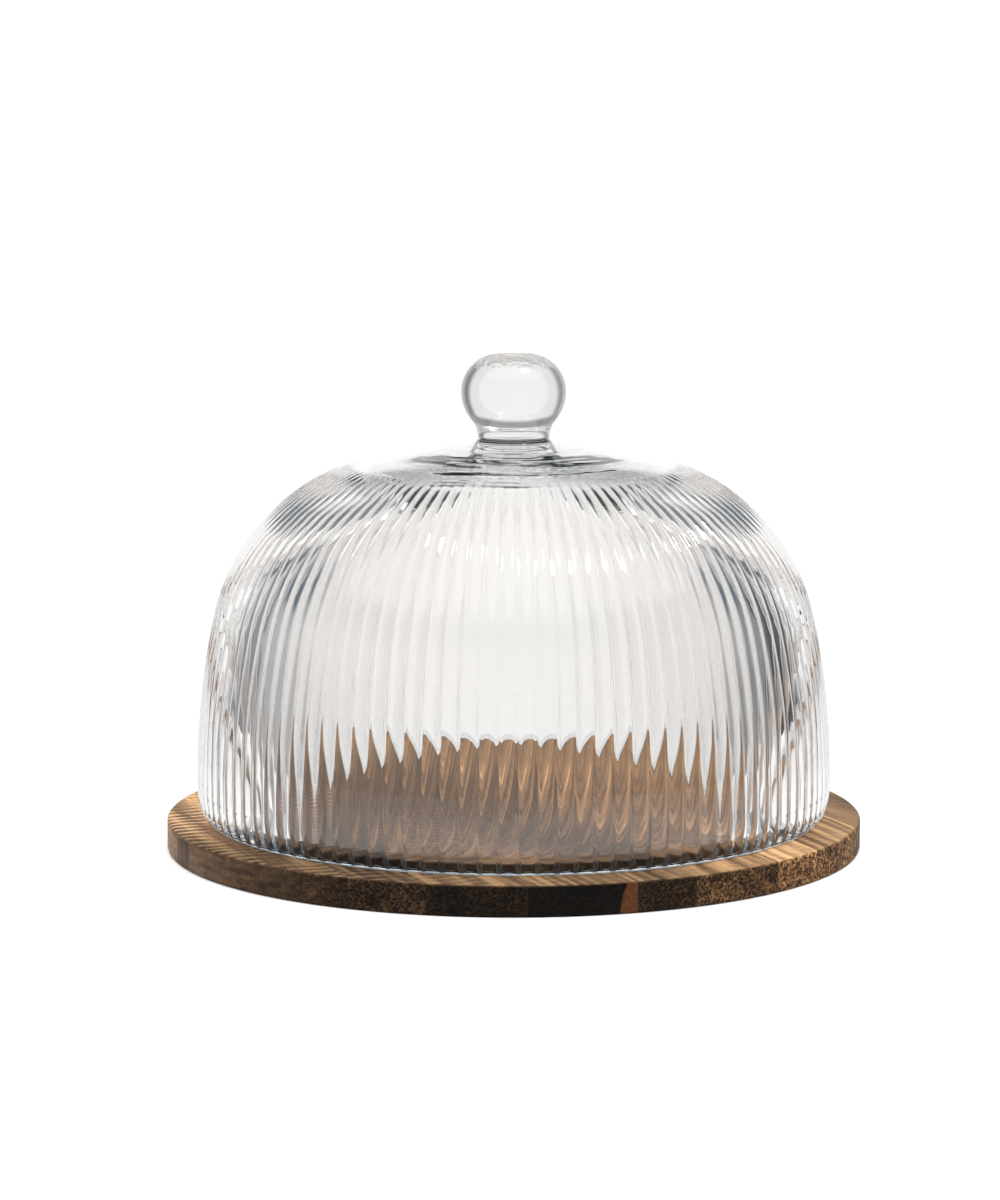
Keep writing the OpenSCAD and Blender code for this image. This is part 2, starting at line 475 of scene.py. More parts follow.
def ring_line(name):
    """A line of points, one for each ring of the shell, with what the rings need as attributes."""
    glass = bpy.context.scene.dome_glass
    line = Outline(glass)
    rings = outer_rings(glass, line) + foot_rings(glass, line) + inner_rings(glass, line)
    mesh = bpy.data.meshes.new(name)
    points = [(ring.point[0], 0.0, ring.point[1] + LEDGE) for ring in rings]
    mesh.from_pydata(points, [(i, i + 1) for i in range(len(points) - 1)], [])
    facing = mesh.attributes.new("facing", "FLOAT_VECTOR", "POINT")
    facing.data.foreach_set("vector", [v for r in rings for v in (r.facing[0], 0.0, r.facing[1])])
    for key in ("depth", "ended", "ripple", "ridge"):
        attribute = mesh.attributes.new(key, "FLOAT", "POINT")
        attribute.data.foreach_set("value", [float(getattr(ring, key)) for ring in rings])
    return mesh


# Inputs of the tree that makes the shell, by kind
TURNING_INPUTS = {
    "NodeSocketGeometry": ("Rings",),
    "NodeSocketInt": ("Reeds", "Steps per reed"),
    "NodeSocketFloat": (
        "Turn", "Fullness", "Ripple height", "Ripple width", "Ridge bluntness", "Valley bluntness",
        "Foot level", "Post level", "Post width", "Post radius",
    ),
    "NodeSocketMaterial": ("Glass", "Foot highlight glass", "Post reflection glass"),
}


def turning_tree():
    """A tree with the inputs of the turning, its nodes, and the inputs by name."""
    group = bpy.data.node_groups.new("Reeded turning", "GeometryNodeTree")
    for kind, names in TURNING_INPUTS.items():
        for name in names:
            group.interface.new_socket(name, in_out="INPUT", socket_type=kind)
    group.interface.new_socket("Shell", in_out="OUTPUT", socket_type="NodeSocketGeometry")
    nodes = Nodes(group)
    sockets = nodes.node("NodeGroupInput").socket.node.outputs
    return group, nodes, {s.name: Value(nodes, s) for s in sockets if s.name}


def reed_columns(given, column):
    """The angle of a column of points, and how far it is from its valley: 0 in it, 1 on the crest.

    Columns crowd towards the valleys, where the glass bends most."""
    along = column / given["Steps per reed"]
    reed = (along + 1e-4).math("FLOOR")
    across = (((along - reed) * 2 - 1) * (math.pi / 2)).math("SINE")
    turn = (reed + across * 0.5 + 0.5) / given["Reeds"] * math.tau + given["Turn"]
    return turn, 1 - across.math("ABSOLUTE")


def reed_crest(given, from_valley, ended):
    """Height of a reed as a share of its depth: 0 in the valley and where it has ended, 1 on the crest."""
    blunt = given["Valley bluntness"]
    rounded = (from_valley * from_valley + blunt * blunt).math("SQRT") - blunt
    whole = (blunt * blunt + 1).math("SQRT") - blunt
    swell = (1 - rounded / whole) ** given["Fullness"]
    return (1 - swell - ended * ended).math("MAXIMUM", 0.0)


def inner_ridge(given, from_valley):
    """Height of the ridge on the inside: nearly 1 behind the valley, and nearly 0 behind the crest."""
    blunt = given["Ridge bluntness"]
    away = 1 - (from_valley * from_valley + blunt * blunt).math("SQRT")
    return away * away


def crown_ripples(nodes, given, r, flat_place):
    """Broad, uneven ripples round the middle of the crown."""
    warp = nodes.noise(flat_place, 22, 2)
    ripples = ((r + warp * (20 * MM)) / given["Ripple width"] * math.tau).math("SINE")
    return ripples * nodes.noise(flat_place, 45, 1)


def smooth_shell(nodes, shell):
    """Shades the shell smooth, except along its sharp edges."""
    inputs = {"Geometry": shell, "Shade Smooth": True}
    shell = nodes.node("GeometryNodeSetShadeSmooth", {"domain": "FACE"}, inputs)
    sharp = nodes.node("GeometryNodeInputMeshEdgeAngle").math("GREATER_THAN", SHARP_BEND)
    inputs = {"Geometry": shell, "Selection": sharp, "Shade Smooth": False}
    return nodes.node("GeometryNodeSetShadeSmooth", {"domain": "EDGE"}, inputs)


def glaze_shell(nodes, given, shell):
    """Gives the shell its glass, with a post of grey painted reflection under each valley, and a frosted
    foot whose pale tint paints a line of light.
    """
    shell = nodes.node("GeometryNodeSetMaterial", {}, {"Geometry": shell, "Material": given["Glass"]})
    x, y, level = nodes.axes(nodes.node("GeometryNodeInputPosition"))
    valley = (x.math("ARCTAN2", y * -1) - given["Turn"]) / math.tau * given["Reeds"]
    beside_valley = (valley - valley.math("ROUND")).math("ABSOLUTE")
    outside = (x * x + y * y).math("SQRT").math("GREATER_THAN", given["Post radius"])
    post = beside_valley.math("LESS_THAN", given["Post width"] * 0.5) * outside
    post = post * level.math("LESS_THAN", given["Post level"])
    at_foot = level.math("LESS_THAN", given["Foot level"])
    for where, glass in ((post, "Post reflection glass"), (at_foot, "Foot highlight glass")):
        inputs = {"Geometry": shell, "Selection": where, "Material": given[glass]}
        shell = nodes.node("GeometryNodeSetMaterial", {}, inputs)
    return shell


def reeded_turning():
    """Geometry Nodes that turn a line of rings into a closed shell with reeds on it."""
    group, nodes, given = turning_tree()
    ring_count = nodes.node("GeometryNodeAttributeDomainSize", {}, {0: given["Rings"]})
    columns = given["Reeds"] * given["Steps per reed"]
    grid = nodes.node("GeometryNodeMeshGrid", {}, {"Vertices X": columns + 1, "Vertices Y": ring_count})
    index = nodes.node("GeometryNodeInputIndex")
    ring = index % ring_count
    column = (index / ring_count).math("FLOOR")

    def of_ring(field, kind):
        settings = {"data_type": kind, "domain": "POINT"}
        inputs = {"Geometry": given["Rings"], "Value": field, "Index": ring}
        return nodes.node("GeometryNodeSampleIndex", settings, inputs)

    def attribute(name, kind="FLOAT"):
        settings = {"data_type": kind}
        return of_ring(nodes.node("GeometryNodeInputNamedAttribute", settings, {"Name": name}), kind)

    r, _, h = nodes.axes(of_ring(nodes.node("GeometryNodeInputPosition"), "FLOAT_VECTOR"))
    out_r, _, out_h = nodes.axes(attribute("facing", "FLOAT_VECTOR"))
    turn, from_valley = reed_columns(given, column)
    sine, cosine = turn.math("SINE"), turn.math("COSINE")
    flat_place = nodes.node("ShaderNodeCombineXYZ", {}, {0: r * sine, 1: r * cosine, 2: h})
    crest = reed_crest(given, from_valley, attribute("ended"))
    lift = (crest - 1) * attribute("depth") + inner_ridge(given, from_valley) * attribute("ridge")
    ripples = crown_ripples(nodes, given, r, flat_place)
    lift = lift + ripples * attribute("ripple") * given["Ripple height"]
    far = r + out_r * lift
    inputs = {0: far * sine, 1: far * cosine * -1, 2: h + out_h * lift}
    place = nodes.node("ShaderNodeCombineXYZ", {}, inputs)
    shell = nodes.node("GeometryNodeSetPosition", {}, {"Geometry": grid, "Position": place})
    inputs = {"Geometry": shell, "Distance": MERGE_DISTANCE}
    shell = nodes.node("GeometryNodeMergeByDistance", {}, inputs)
    shell = smooth_shell(nodes, shell)
    shell = nodes.node("GeometryNodeRealizeInstances", {}, {0: shell})
    nodes.node("NodeGroupOutput", {}, {0: glaze_shell(nodes, given, shell)})
    return group


def set_input(modifier, name, value):
    """Sets the modifier's input of that name."""
    item = next(i for i in modifier.node_group.interface.items_tree if i.name == name)
    modifier[item.identifier] = value


def as_plain_mesh(source, name):
    """A new object with the evaluated mesh of source, which is then removed."""
    depsgraph = bpy.context.evaluated_depsgraph_get()
    mesh = bpy.data.meshes.new_from_object(source.evaluated_get(depsgraph))
    mesh.name = name
    piece = bpy.data.objects.new(name, mesh)
    bpy.context.collection.objects.link(piece)
    bpy.data.objects.remove(source, do_unlink=True)
    return piece


def outward(mesh):
    """Turns the faces outwards where most of them point in."""
    made = bmesh.new()
    made.from_mesh(mesh)
    if made.calc_volume(signed=True) < 0:
        bmesh.ops.reverse_faces(made, faces=made.faces)
    made.to_mesh(mesh)
    made.free()


# ---------------------------------------------------------------- knob

# Steps along each curve of the knob
NECK_STEPS, BELLY_STEPS = 14, 18


def knob_outline(knob, bond_r):
    """The knob's outline from the rim of its flat bottom to the rim of its flat top."""
    belly_h = knob.belly_height
    height = KNOB_HIGH[2] - BOND
    belly_c = Vector((BELLY_R - knob.belly_arc, belly_h))
    neck_in = bond_r - belly_c.x
    neck_arc = (belly_h**2 - knob.belly_arc**2 + neck_in**2) / (2 * (knob.belly_arc - neck_in))
    neck_c = Vector((bond_r + neck_arc, 0))
    neck_end = math.atan2(-belly_h, neck_c.x - belly_c.x)
    top_arc = height - belly_h
    top_c = (BELLY_R - top_arc, belly_h)
    points = [p for p, _ in arc(neck_c, neck_arc, math.pi, math.pi + neck_end, NECK_STEPS)]
    points += [p for p, _ in arc(belly_c, knob.belly_arc, neck_end, 0, BELLY_STEPS)][1:]
    points += [p for p, _ in arc(top_c, top_arc, 0, math.pi / 2, BELLY_STEPS)][1:]
    return points


def turned_mesh(points, segments, base):
    """A closed body of revolution through the points, which run from its bottom rim to its top rim,
    with their heights above base."""
    made = bmesh.new()
    rings = []
    for r, h in points:
        angles = [math.tau * i / segments for i in range(segments)]
        rings.append([made.verts.new((r * math.cos(a), r * math.sin(a), base + h)) for a in angles])
    for low, high in zip(rings, rings[1:]):
        for i in range(segments):
            j = (i + 1) % segments
            made.faces.new((low[i], low[j], high[j], high[i]))
    for ring, h, flip in ((rings[0], points[0][1], True), (rings[-1], points[-1][1], False)):
        middle = made.verts.new((0, 0, base + h))
        for i in range(segments):
            j = (i + 1) % segments
            made.faces.new((middle, ring[j], ring[i]) if flip else (middle, ring[i], ring[j]))
    for face in made.faces:
        face.smooth = True
    return made


# ---------------------------------------------------------------- wood

# How each stave differs: tone at its back and at its front end, brightness of its end grain, height
# of its ripple figure, and where the heart of its tree lay, across from the stave's middle and below
# the board, in metres. The front tones, darker on the left staves and lighter on the right, and the
# end grain's brightness are partly the wood's own and partly painted light and shade of the rim.
STAVE_LOOKS = {
    "board_stave_1": (1.14, 0.38, 0.29, 1.0, (0.030, -0.090)),
    "board_stave_2": (0.62, 0.33, 0.60, 0.7, (-0.050, -0.060)),
    "board_stave_3": (0.60, 0.54, 0.13, 0.3, (0.040, -0.120)),
    "board_stave_4": (0.68, 0.58, 0.030, 0.15, (-0.060, -0.050)),
    "board_stave_5": (0.88, 0.60, 0.23, 0.1, (0.050, -0.070)),
    "board_stave_6": (1.20, 1.04, 0.42, 0.1, (-0.030, -0.110)),
    "board_stave_7": (1.02, 1.24, 0.80, 0.2, (0.060, -0.080)),
    "board_stave_8": (0.98, 1.20, 0.92, 0.1, (-0.045, -0.055)),
    "board_stave_9": (0.71, 1.00, 0.72, 0.1, (0.035, -0.100)),
}
SAPWOOD_STAVE = "board_stave_4"
# Width of the sapwood on the underside, and the level at which it has narrowed to nothing
SAPWOOD_WIDTH, SAPWOOD_TOP = 8 * MM, 18.5 * MM
# Levels between which the ledge's looks give way to those of the raised centre
RAISED_START, RAISED_FULL = 17 * MM, 18 * MM
# The shade in the gap round the raised centre: its distances from the axis, where it starts, is
# full, pales and ends, and the levels between which it sets in, going down
GAP_START, GAP_FULL, GAP_PALES, GAP_END = 127.0 * MM, 127.8 * MM, 130.3 * MM, 133.8 * MM
GAP_LEVELS = (18.1 * MM, 17.2 * MM)
# Depths along Y between which a stave's back tone turns into its front tone
TONE_BACK, TONE_FRONT = -10 * MM, -100 * MM
# Distances from a joint to which its glue is dark and at which it ends
GLUE_DARK, GLUE_END = 0.10 * MM, 0.35 * MM


def stave_edges(node, turn):
    """The two joints of a stave, as distances across the grain."""
    across = Vector((math.cos(turn), math.sin(turn), 0))
    places = [v.co.dot(across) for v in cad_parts[node].data.vertices]
    return min(places), max(places)


class Stave:
    """The wood of one stave: w runs across its grain to the right, s along it to the back and z up."""

    def __init__(self, node, number):
        self.look = bpy.context.scene.dome_wood
        self.low, self.high = stave_edges(node, self.look.grain_turn)
        self.back_tone, self.front_tone, self.end_light, self.ripple_share, self.heart = STAVE_LOOKS[node]
        self.material, self.nodes = new_material(f"wood_{node}")
        nodes = self.nodes
        self.place = nodes.node("ShaderNodeTexCoord", {}, {}, "Object")
        grain = nodes.mapped(self.place, turn=(0, 0, -self.look.grain_turn))
        self.own = nodes.mapped(grain, shift=(0.37 * number, 0.21 * number, 0.11 * number))
        self.w, self.s, self.z = nodes.axes(grain)
        self.radius = (self.w * self.w + self.s * self.s).math("SQRT")
        # Where the face is the top, where it is end grain, and where it is the raised centre
        normal = nodes.node("ShaderNodeNewGeometry", {}, {}, "True Normal")
        self.on_top = nodes.axes(normal)[2].over(0.6, 0.9)
        self.end = (self.s.math("ABSOLUTE") / self.radius).over(0.15, 0.75) * (1 - self.on_top)
        self.raised = self.z.over(RAISED_START, RAISED_FULL)

    def along(self, across, lengthwise, detail, roughness=0.5):
        """Noise that is drawn out along the stave."""
        place = self.nodes.mapped(self.own, (across, lengthwise, across))
        return self.nodes.noise(place, 1, detail, roughness)

    def growth_rings(self):
        """Rings round the heart, which wander along the stave, 0 to 1."""
        heart_w, heart_z = self.heart
        wander = self.along(14, 5, 3) * (22 * MM)
        from_w = self.w - ((self.low + self.high) / 2 + heart_w) + wander
        from_z = self.z - heart_z + wander * 0.6
        radius = (from_w * from_w + from_z * from_z).math("SQRT")
        return (radius / self.look.ring_width * math.tau).math("SINE") * 0.5 + 0.5

    def ripple(self):
        """Ripple figure, 0 to 1: bars of light and dark that cross the grain."""
        bars = (self.s + self.along(40, 25, 2) * (12 * MM)) / self.look.ripple_width
        return ((bars * math.tau).math("SINE") * 0.5 + 0.5) ** 2.2

    def shade(self, fibres, ripple):
        """Shade of the grain: dark streaks below 0.2, golden ones above 0.8."""
        nodes, on_top, raised = self.nodes, self.on_top, self.raised
        rings = self.growth_rings() * (0.30 - (1 - on_top) * 0.22 - raised * 0.22)
        streaks, broad = self.along(260, 9, 4, 0.6), self.along(45, 6, 2)
        shade = rings + streaks + fibres * 0.40 + broad * 0.75 - 0.70
        # The raised centre keeps a livelier grain
        shade = (shade - 0.5) * (raised * 0.45 + 1) + 0.5
        flecks = self.along(420, 80, 3, 0.6)
        shade = shade + (flecks - 0.5) * (0.55 - on_top * 0.4 + raised * 0.5)
        patches = nodes.noise(nodes.mapped(self.own, (60, 18, 25)), 1, 2).over(0.35, 0.62)
        return shade + (ripple - 0.4) * patches * on_top * (0.80 * self.ripple_share)

    def toned(self, wood):
        """The wood in the stave's own tone, which changes from its back to its front end. The front ends
        are partly painted light and shade: darker on the left, lighter on the right.
        """
        nodes = self.nodes
        _, depth, _ = nodes.axes(self.place)
        tone = depth.over(TONE_FRONT, TONE_BACK) * (self.back_tone - self.front_tone) + self.front_tone
        side = (1 - self.on_top) * (1 - self.end)
        tone = tone * (side * (0.5 * self.ripple_share) + 1)
        return nodes.node("ShaderNodeVectorMath", {"operation": "SCALE"}, {0: wood, "Scale": tone})

    def with_end_grain_and_shade(self, wood, speckle):
        """End grain drinks the oil and is darker and speckled. Its darkness is also painted shade of the
        rim's front, set stave by stave.
        """
        level = speckle * (self.end_light * 2.0) + self.end_light * 0.16
        inputs = {0: level, 1: level * 0.92, 2: level * 0.8}
        soaked_and_shaded = self.nodes.node("ShaderNodeCombineColor", {}, inputs)
        soaked_and_shaded = self.nodes.mix(1.0, wood, soaked_and_shaded, "MULTIPLY")
        return self.nodes.mix(self.end, wood, soaked_and_shaded)

    def with_sapwood(self, wood, speckle):
        """A reddish wedge of sapwood in the rim, along the stave's right joint."""
        nodes = self.nodes
        width = (1 - (self.z / SAPWOOD_TOP) ** 2.2) * SAPWOOD_WIDTH
        from_joint = self.high - self.w + (nodes.noise(self.own, 90, 2) - 0.5) * (2 * MM)
        band = from_joint.over(0.5 * MM, 0.0) + (width - from_joint).over(0.0, 1 * MM)
        band = band.math("MINIMUM", 1.0) * (1 - self.on_top) * (speckle * 0.4 + 0.6)
        return nodes.mix(band, wood, self.look.sapwood)

    def with_gap_and_joints(self, wood):
        """Shade in the gap round the raised centre, and a hair of dark glue at the joints."""
        nodes, dark = self.nodes, self.look.dark
        gap = self.radius.over(GAP_START, GAP_FULL) * self.radius.over(GAP_END, GAP_PALES)
        wood = nodes.mix(gap * self.z.over(*GAP_LEVELS), wood, [c * 0.06 for c in dark])
        # Painted shade of the glass dome darkens the raised centre under it
        wood = nodes.mix(self.raised * 0.8, wood, self.look.glass_shade, "MULTIPLY")
        to_joint = (self.w - self.low).math("MINIMUM", self.high - self.w)
        return nodes.mix(to_joint.over(GLUE_END, GLUE_DARK) * 0.7, wood, [c * 0.3 for c in dark])


def stave_wood(node, number):
    """Oiled wood with rings round the heart, fibres along the stave, pores, and darker end grain that is
    partly painted shade.
    """
    stave = Stave(node, number)
    nodes, look = stave.nodes, stave.look
    fibres = stave.along(1500, 45, 2, 0.6)
    pores = stave.along(2100, 70, 1).over(0.62, 0.70)
    ripple = stave.ripple()
    stops = [(0.18, look.dark), (0.52, look.brown), (0.85, look.golden)]
    wood = nodes.node("ShaderNodeValToRGB", {"stops": stops}, {"Fac": stave.shade(fibres, ripple)})
    wood = nodes.mix(pores * 0.6, stave.toned(wood), [c * 0.35 for c in look.dark])
    speckle = nodes.noise(nodes.mapped(stave.own, (1, 0.3, 1)), 900, 3, 0.75).over(0.43, 0.62)
    # Darker end grain: partly real, partly painted shade of the rim's front
    wood = stave.with_end_grain_and_shade(wood, speckle)
    if node == SAPWOOD_STAVE:
        wood = stave.with_sapwood(wood, speckle)
    wood = stave.with_gap_and_joints(wood)
    height = fibres * (0.06 * MM) - pores * (0.08 * MM) + ripple * (0.12 * MM * stave.ripple_share)
    bump = nodes.node("ShaderNodeBump", {}, {"Strength": 0.8, "Distance": 1.0, "Height": height})
    rough = fibres * 0.15 + stave.end * 0.18 + 0.48
    inputs = {"Base Color": wood, "Roughness": rough, "Specular IOR Level": 0.14, "Normal": bump}
    finish_surface(nodes, inputs)
    return stave.material


# ---------------------------------------------------------------- settings


def length(name, description, default):
    settings = {"default": default, "unit": "LENGTH", "precision": 5}
    return FloatProperty(name=name, description=description, **settings)


def colour(name, description, default):
    settings = {"default": default, "subtype": "COLOR", "min": 0, "max": 1}
    return FloatVectorProperty(name=name, description=description, **settings)


def angle(name, description, degrees):
    settings = {"default": math.radians(degrees), "subtype": "ANGLE"}
    return FloatProperty(name=name, description=description, **settings)


def number(name, description, default):
    return FloatProperty(name=name, description=description, default=default)


class DomeGlass(bpy.types.PropertyGroup):
    """Sizes of the glass shell and its bond, and the colours of the glass."""

    reeds: IntProperty(name="Reeds", description="Reeds round the dome", default=108, min=12)
    reed_steps: IntProperty(name="Steps per reed", description="Faces across each reed", default=8, min=4)
    reed_turn: angle("Turn", "Turn of the first valley from the front", 0.82)
    reed_depth: length("Reed depth", "Depth of the valleys on the wall", 1.35 * MM)
    reeds_from: length("Reeds begin", "Distance from the axis where the reeds begin", 73 * MM)
    reeds_full: length("Reeds full", "Distance from the axis where the reeds reach their depth", 88 * MM)
    reeds_end: length("Reeds round off", "Height above the foot where the reeds round off", 3.0 * MM)
    band_height: length("Foot band", "Height of the plain band at the foot", 1.2 * MM)
    fullness: number("Fullness", "2 for round reeds, more for flatter ones", 2.9)
    ridge_height: length("Ridge height", "Height of the inner ridges behind the valleys", 0.3 * MM)
    ridge_bluntness: number("Ridge bluntness", "Rounding of the inner ridges", 0.12)
    valley_bluntness: number("Valley bluntness", "Rounding of the valleys between the reeds", 0.13)
    foot_edge: length("Foot edge", "Rounding of the foot's edges", 0.9 * MM)
    foot_thickness: length("Foot thickness", "Thickness of the glass at the foot", 4.0 * MM)
    widest_thickness: length("Widest thickness", "Thickness of the glass at its widest ring", 5.2 * MM)
    wall_thickness: length("Wall thickness", "Thickness of the glass at the top of the wall", 3.0 * MM)
    shoulder_thickness: length("Shoulder thickness", "Thickness at the top of the shoulder", 4.5 * MM)
    ripple_height: length("Ripple height", "Height of the broad ripples in the crown", 0.035 * MM)
    ripple_width: length("Ripple width", "Distance between the ripples in the crown", 9 * MM)
    ring_width: length("Ring width", "Distance between the fine rings in the crown", 10.5 * MM)
    # The posts are grey painted reflections in the valleys, low on the wall
    post_height: length("Post height", "How high the grey posts stand above the foot", 4.8 * MM)
    post_width: number("Post width", "Share of a reed that a post takes up", 0.2)
    ring_relief: length("Ring relief", "Height of the fine rings in the crown", 0.13 * MM)
    ripples_fade: length("Ripples fade", "Drop from the crown over which its ripples fade", 6.5 * MM)
    bond_width: length("Bond width", "Width of the flat face that holds the knob", 30.8 * MM)
    bond_gap: length("Bond gap", "Air gap in the bond", 0.12 * MM)
    bond_edge: length("Bond edge", "Bevel round both faces of the bond", 0.35 * MM)
    tint: colour("Tint", "Colour of the glass seen straight on", (0.945, 0.943, 0.938))
    knob_tint: colour("Knob tint", "Colour of the glass through the knob", (0.80, 0.795, 0.79))
    # Painted shade: the tint that greys the glass where it turns away from the eye
    glancing_shade_tint: colour("Glancing shade", "Colour of the glass at a glancing angle", (0.66, 0.675, 0.69))


class DomeKnob(bpy.types.PropertyGroup):
    """Sizes of the knob, beside those that the frame gives."""

    belly_height: length("Belly height", "Height of the belly above the bond", 19.6 * MM)
    belly_arc: length("Belly curve", "Radius of the curve under the belly", 18.8 * MM)
    segments: IntProperty(name="Segments", description="Faces round the knob", default=128, min=24)


class DomeWood(bpy.types.PropertyGroup):
    """Grain and colours of the board."""

    grain_turn: angle("Grain turn", "Turn of the grain from the depth axis", 22)
    ring_width: length("Ring width", "Distance between growth rings", 3.4 * MM)
    ripple_width: length("Ripple width", "Distance between the bars of the ripple figure", 6.5 * MM)
    dark: colour("Dark wood", "Colour of the dark streaks", (0.080, 0.043, 0.021))
    brown: colour("Brown wood", "Colour of most of the wood", (0.245, 0.138, 0.066))
    golden: colour("Golden wood", "Colour of the light streaks", (0.48, 0.29, 0.135))
    sapwood: colour("Sapwood", "Colour of the strip of sapwood", (0.15, 0.052, 0.016))
    # Painted shade of the glass dome on the wood under it
    glass_shade: colour("Shade under glass", "Tone of the wood under the glass, beside the rest", (0.72, 0.66, 0.60))


class DomeStage(bpy.types.PropertyGroup):
    """Camera, lights and floor."""

    camera_distance: length("Camera distance", "From the camera to its target", 1.65)
    camera_height: angle("Camera elevation", "Elevation of the camera", 9)
    target_height: length("Target height", "Height of the camera's target above the floor", 0.080)
    lens: number("Lens", "Focal length in millimetres", 114.6)
    shift: FloatVectorProperty(
        name="Shift", description="Shift of the lens", size=2, default=(-0.0114, 0.0496)
    )
    floor_radius: length("Floor radius", "Radius of the pale floor", 0.36)


# ---------------------------------------------------------------- operators


class CHEESEDOME_OT_shell(bpy.types.Operator):
    """Make the reeded glass shell"""

    bl_idname = "cheesedome.shell"
    bl_label = "Reeded shell"

    def execute(self, context):
        glass = context.scene.dome_glass
        rings = bpy.data.objects.new("rings", ring_line("rings"))
        context.collection.objects.link(rings)
        modifier = rings.modifiers.new("Reeds", "NODES")
        modifier.node_group = reeded_turning()
        values = {
            "Reeds": glass.reeds,
            "Steps per reed": glass.reed_steps,
            "Turn": glass.reed_turn,
            "Ripple height": glass.ripple_height,
            "Ripple width": glass.ripple_width,
            "Fullness": glass.fullness,
            "Ridge bluntness": glass.ridge_bluntness,
            "Valley bluntness": glass.valley_bluntness,
            "Foot level": LEDGE + glass.foot_edge,
            "Post level": LEDGE + glass.post_height,
            "Post width": glass.post_width,
            "Post radius": WIDEST_R - POST_INSET,
            "Glass": shell_glass(),
            # The foot's pale tint is painted highlight, and the posts' grey is painted reflection
            "Foot highlight glass": frost_and_sheen_glass("foot_frost_and_highlight", *FOOT_HIGHLIGHT_TONES),
            "Post reflection glass": frost_and_sheen_glass("post_painted_reflection", *POST_REFLECTION_TONES),
        }
        for name, value in values.items():
            set_input(modifier, name, value)
        shell = as_plain_mesh(rings, "reeded_shell")
        outward(shell.data)
        # Light reaches the board through the glass as if it were not there
        shell.visible_shadow = False
        shell.visible_diffuse = False
        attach(shell, "dome")
        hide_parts("dome_shell")
        return {"FINISHED"}


class CHEESEDOME_OT_knob(bpy.types.Operator):
    """Make the solid glass knob"""

    bl_idname = "cheesedome.knob"
    bl_label = "Knob"

    def execute(self, context):
        glass, knob = context.scene.dome_glass, context.scene.dome_knob
        edge, bond_r = glass.bond_edge, glass.bond_width / 2
        start = glass.bond_gap / 2
        bevel = [Vector((bond_r - edge, start)), Vector((bond_r - edge * 0.2, start + edge))]
        points = bevel + [p for p in knob_outline(knob, bond_r) if p.y > start + edge]
        made = turned_mesh(points, knob.segments, BOND)
        mesh = bpy.data.meshes.new("glass_knob")
        made.to_mesh(mesh)
        made.free()
        mesh.materials.append(knob_glass())
        mesh.materials.append(bond_shade())
        # The bevel faces at the bond get the painted shade
        for face in mesh.polygons:
            if BOND + start < face.center.z < BOND + start + edge * 1.2:
                face.material_index = 1
        piece = bpy.data.objects.new("glass_knob", mesh)
        context.collection.objects.link(piece)
        outward(mesh)
        # Light reaches the board through the glass as if it were not there
        piece.visible_shadow = False
        piece.visible_diffuse = False
        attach(piece, "dome")
        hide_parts("dome_knob")
        return {"FINISHED"}


class CHEESEDOME_OT_board(bpy.types.Operator):
    """Give each stave of the board its own wood"""

    bl_idname = "cheesedome.board"
    bl_label = "Board"

    def execute(self, context):
        for number, node in enumerate(STAVES, 1):
            wood = stave_wood(node, number)
            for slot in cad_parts[node].material_slots:
                slot.material = wood
        return {"FINISHED"}


def panel_light(name, place, aim, size, radiance):
    """A soft box of that radiance, facing aim."""
    light = bpy.data.lights.new(name, "AREA")
    light.shape = "RECTANGLE"
    light.size, light.size_y = size
    light.energy = radiance * math.pi * size[0] * size[1]
    lamp = bpy.data.objects.new(name, light)
    lamp.location = place
    lamp.rotation_euler = (Vector(aim) - Vector(place)).to_track_quat("-Z", "Y").to_euler()
    bpy.context.collection.objects.link(lamp)
    return lamp


def studio_world():
    """White for the camera. The glass sees a studio: a bright backdrop, greyer sides with a dark
    flag on each beside the backdrop, a dark band over them and a bright ceiling."""
    left_side, right_side = (0.46, 0.47, 0.49), (0.27, 0.275, 0.285)
    left_flag, right_flag = (0.27, 0.276, 0.285), (0.07, 0.072, 0.075)
    backdrop, front = (1.145, 1.135, 1.125), (0.45, 0.45, 0.45)
    dark_band, ceiling = (0.13, 0.165, 0.20), (1.3, 1.3, 1.3)
    camera_white = (1.1, 1.1, 1.1)
    world = bpy.data.worlds.new("studio")
    world.use_nodes = True
    nodes = Nodes(world.node_tree)
    way = nodes.node("ShaderNodeTexCoord", {}, {}, "Generated")
    right, back, up = nodes.axes(way)
    sides = nodes.mix(right.over(-0.4, 0.4), left_side, right_side)
    flag = back.over(0.36, 0.42) * back.over(0.68, 0.62)
    sides = nodes.mix(flag * right.over(-0.2, 0.2), sides, right_flag)
    sides = nodes.mix(flag * right.over(0.2, -0.2), sides, left_flag)
    walls = nodes.mix(back.over(0.66, 0.76), sides, backdrop)
    walls = nodes.mix(back.over(-0.6, -0.8), walls, front)
    room = nodes.mix(up.over(0.33, 0.42), walls, dark_band)
    room = nodes.mix(up.over(0.58, 0.72), room, ceiling)
    seen = nodes.node("ShaderNodeLightPath", {}, {}, "Is Camera Ray")
    light = nodes.mix(seen, room, camera_white)
    background = nodes.node("ShaderNodeBackground", {}, {"Color": light, "Strength": 1.0})
    nodes.node("ShaderNodeOutputWorld", {}, {"Surface": background})
    bpy.context.scene.world = world


# Distances from the axis between which the floor turns from its near tone, painted light that lifts the
# board's shadow, into its far one
FLOOR_NEAR, FLOOR_FAR = 149 * MM, 168 * MM


